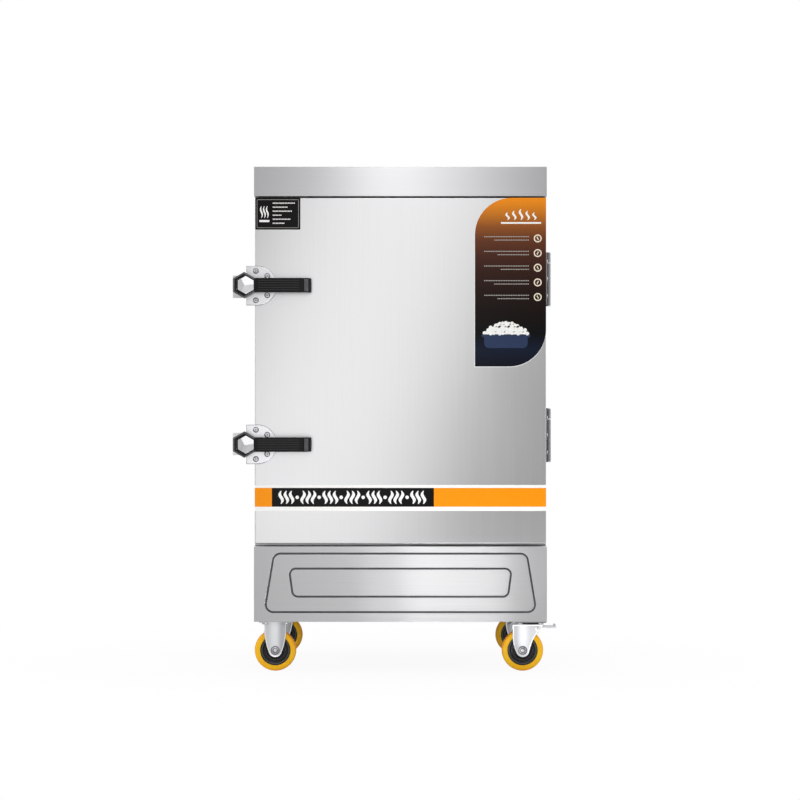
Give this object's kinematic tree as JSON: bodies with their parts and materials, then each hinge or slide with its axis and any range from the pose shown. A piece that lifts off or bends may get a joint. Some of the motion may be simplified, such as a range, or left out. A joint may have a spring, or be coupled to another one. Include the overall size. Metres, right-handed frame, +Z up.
{
  "type": "steam cabinet",
  "caption": "Upright stainless steam cabinet for trays of rice, with a latched side-hung door over an embossed plinth, a rear water box and casters.",
  "frame": {"origin": "on the floor, under the middle of the whole object's bounding box", "axes": "+X to the right of a person facing the door, +Y from the door to the back, +Z up"},
  "size_m": [0.778, 0.7574, 1.21],
  "materials": {
    "outer_steel": "fine satin stainless sheet",
    "inner_steel": "plain stainless sheet",
    "zinc_steel": "bright zinc plate",
    "screw_steel": "machined stainless",
    "polished_casting": "polished and chromed casting",
    "hinge_steel": "pressed stainless",
    "nylon": "white nylon",
    "black_plastic": "moulded black",
    "orange_tyre": "cast polyurethane, orange",
    "brass": "turned brass",
    "lever_paint": "dipped red coat",
    "heater_steel": "heat-tinted tube",
    "float_steel": "spun stainless ball",
    "foam": "rigid foam",
    "seal_rubber": "grey silicone rubber",
    "printed_film": "printed film"
  },
  "bodies": {
    "cabinet": {"base_frame": "zinc_steel", "plinth_front": "outer_steel", "plinth_sides": "outer_steel", "outer_wrap": "outer_steel", "top_cap": "outer_steel", "door_jamb": "outer_steel", "chamber_liner": "inner_steel", "insulation": "foam", "water_tank": "inner_steel", "steam_plate": "inner_steel", "heater": "heater_steel", "terminal_cover": "outer_steel", "cable_gland": "black_plastic", "float_box": "outer_steel", "float_box_lid": "outer_steel", "float_valve": "brass", "drain_valve": "brass", "steam_vent_pipe": "inner_steel", "tray_1": "inner_steel", "tray_2": "inner_steel", "tray_3": "inner_steel", "tray_4": "inner_steel", "tray_5": "inner_steel", "tray_6": "inner_steel", "hinge_leaves_cabinet": "hinge_steel", "hinge_pins": "hinge_steel", "hinge_washers": "nylon", "latch_keepers": "hinge_steel", "cabinet_screws": "screw_steel", "caster_bolts": "zinc_steel", "rigid_forks": "zinc_steel", "swivel_plates": "zinc_steel", "tray_racks": "inner_steel"},
    "door": {"door_skin": "outer_steel", "door_liner": "inner_steel", "door_insulation": "foam", "door_gasket": "seal_rubber", "door_films": "printed_film", "hinge_leaves_door": "hinge_steel", "latch_bases": "polished_casting", "door_screws": "screw_steel"},
    "upper_latch": {"upper_latch_lever": "black_plastic", "upper_latch_shaft": "polished_casting"},
    "lower_latch": {"lower_latch_lever": "black_plastic", "lower_latch_shaft": "polished_casting"},
    "front_left_wheel": {"front_left_tyre": "orange_tyre", "front_left_wheel_core": "black_plastic"},
    "rear_left_wheel": {"rear_left_tyre": "orange_tyre", "rear_left_wheel_core": "black_plastic"},
    "front_right_swivel": {"front_right_swivel_fork": "zinc_steel"},
    "rear_right_swivel": {"rear_right_swivel_fork": "zinc_steel"},
    "front_right_wheel": {"front_right_tyre": "orange_tyre", "front_right_wheel_core": "black_plastic"},
    "rear_right_wheel": {"rear_right_tyre": "orange_tyre", "rear_right_wheel_core": "black_plastic"},
    "front_right_brake": {"front_right_brake_pedal": "zinc_steel"},
    "rear_right_brake": {"rear_right_brake_pedal": "zinc_steel"},
    "drain_handle": {"drain_lever": "lever_paint"},
    "float": {"float_arm": "float_steel"}
  },
  "joints": [
    {"name": "door_hinge", "type": "hinge", "parent": "cabinet", "child": "door", "pos_m": [0.371, -0.27635, 0.5675], "axis": [0, 0, 1], "range_deg": [0, 180]},
    {"name": "upper_latch_turn", "type": "hinge", "parent": "door", "child": "upper_latch", "pos_m": [-0.356, -0.32635, 0.925], "axis": [0, 1, 0], "range_deg": [0, 90]},
    {"name": "lower_latch_turn", "type": "hinge", "parent": "door", "child": "lower_latch", "pos_m": [-0.356, -0.32635, 0.546], "axis": [0, 1, 0], "range_deg": [0, 90]},
    {"name": "front_left_wheel_spin", "type": "hinge", "parent": "cabinet", "child": "front_left_wheel", "pos_m": [-0.286, -0.26135, 0.05], "axis": [0, 1, 0], "continuous": true},
    {"name": "front_right_swivel_turn", "type": "hinge", "parent": "cabinet", "child": "front_right_swivel", "pos_m": [0.327, -0.26135, 0.1117], "axis": [0, 0, 1], "continuous": true},
    {"name": "front_right_wheel_spin", "type": "hinge", "parent": "front_right_swivel", "child": "front_right_wheel", "pos_m": [0.309, -0.26135, 0.05], "axis": [0, 1, 0], "continuous": true},
    {"name": "front_right_brake_press", "type": "hinge", "parent": "front_right_swivel", "child": "front_right_brake", "pos_m": [0.345, -0.26135, 0.102], "axis": [0, 1, 0], "range_deg": [0, 15]},
    {"name": "rear_left_wheel_spin", "type": "hinge", "parent": "cabinet", "child": "rear_left_wheel", "pos_m": [-0.286, 0.20865, 0.05], "axis": [0, 1, 0], "continuous": true},
    {"name": "rear_right_swivel_turn", "type": "hinge", "parent": "cabinet", "child": "rear_right_swivel", "pos_m": [0.327, 0.20865, 0.1117], "axis": [0, 0, 1], "continuous": true},
    {"name": "rear_right_wheel_spin", "type": "hinge", "parent": "rear_right_swivel", "child": "rear_right_wheel", "pos_m": [0.309, 0.20865, 0.05], "axis": [0, 1, 0], "continuous": true},
    {"name": "rear_right_brake_press", "type": "hinge", "parent": "rear_right_swivel", "child": "rear_right_brake", "pos_m": [0.345, 0.20865, 0.102], "axis": [0, 1, 0], "range_deg": [0, 15]},
    {"name": "drain_lever_turn", "type": "hinge", "parent": "cabinet", "child": "drain_handle", "pos_m": [-0.2, 0.33065, 0.2118], "axis": [0, 0, 1], "range_deg": [0, 90]},
    {"name": "float_rise", "type": "hinge", "parent": "cabinet", "child": "float", "pos_m": [0.3018, 0.32365, 0.278], "axis": [0, 1, 0], "range_deg": [0, 25]}
  ]
}
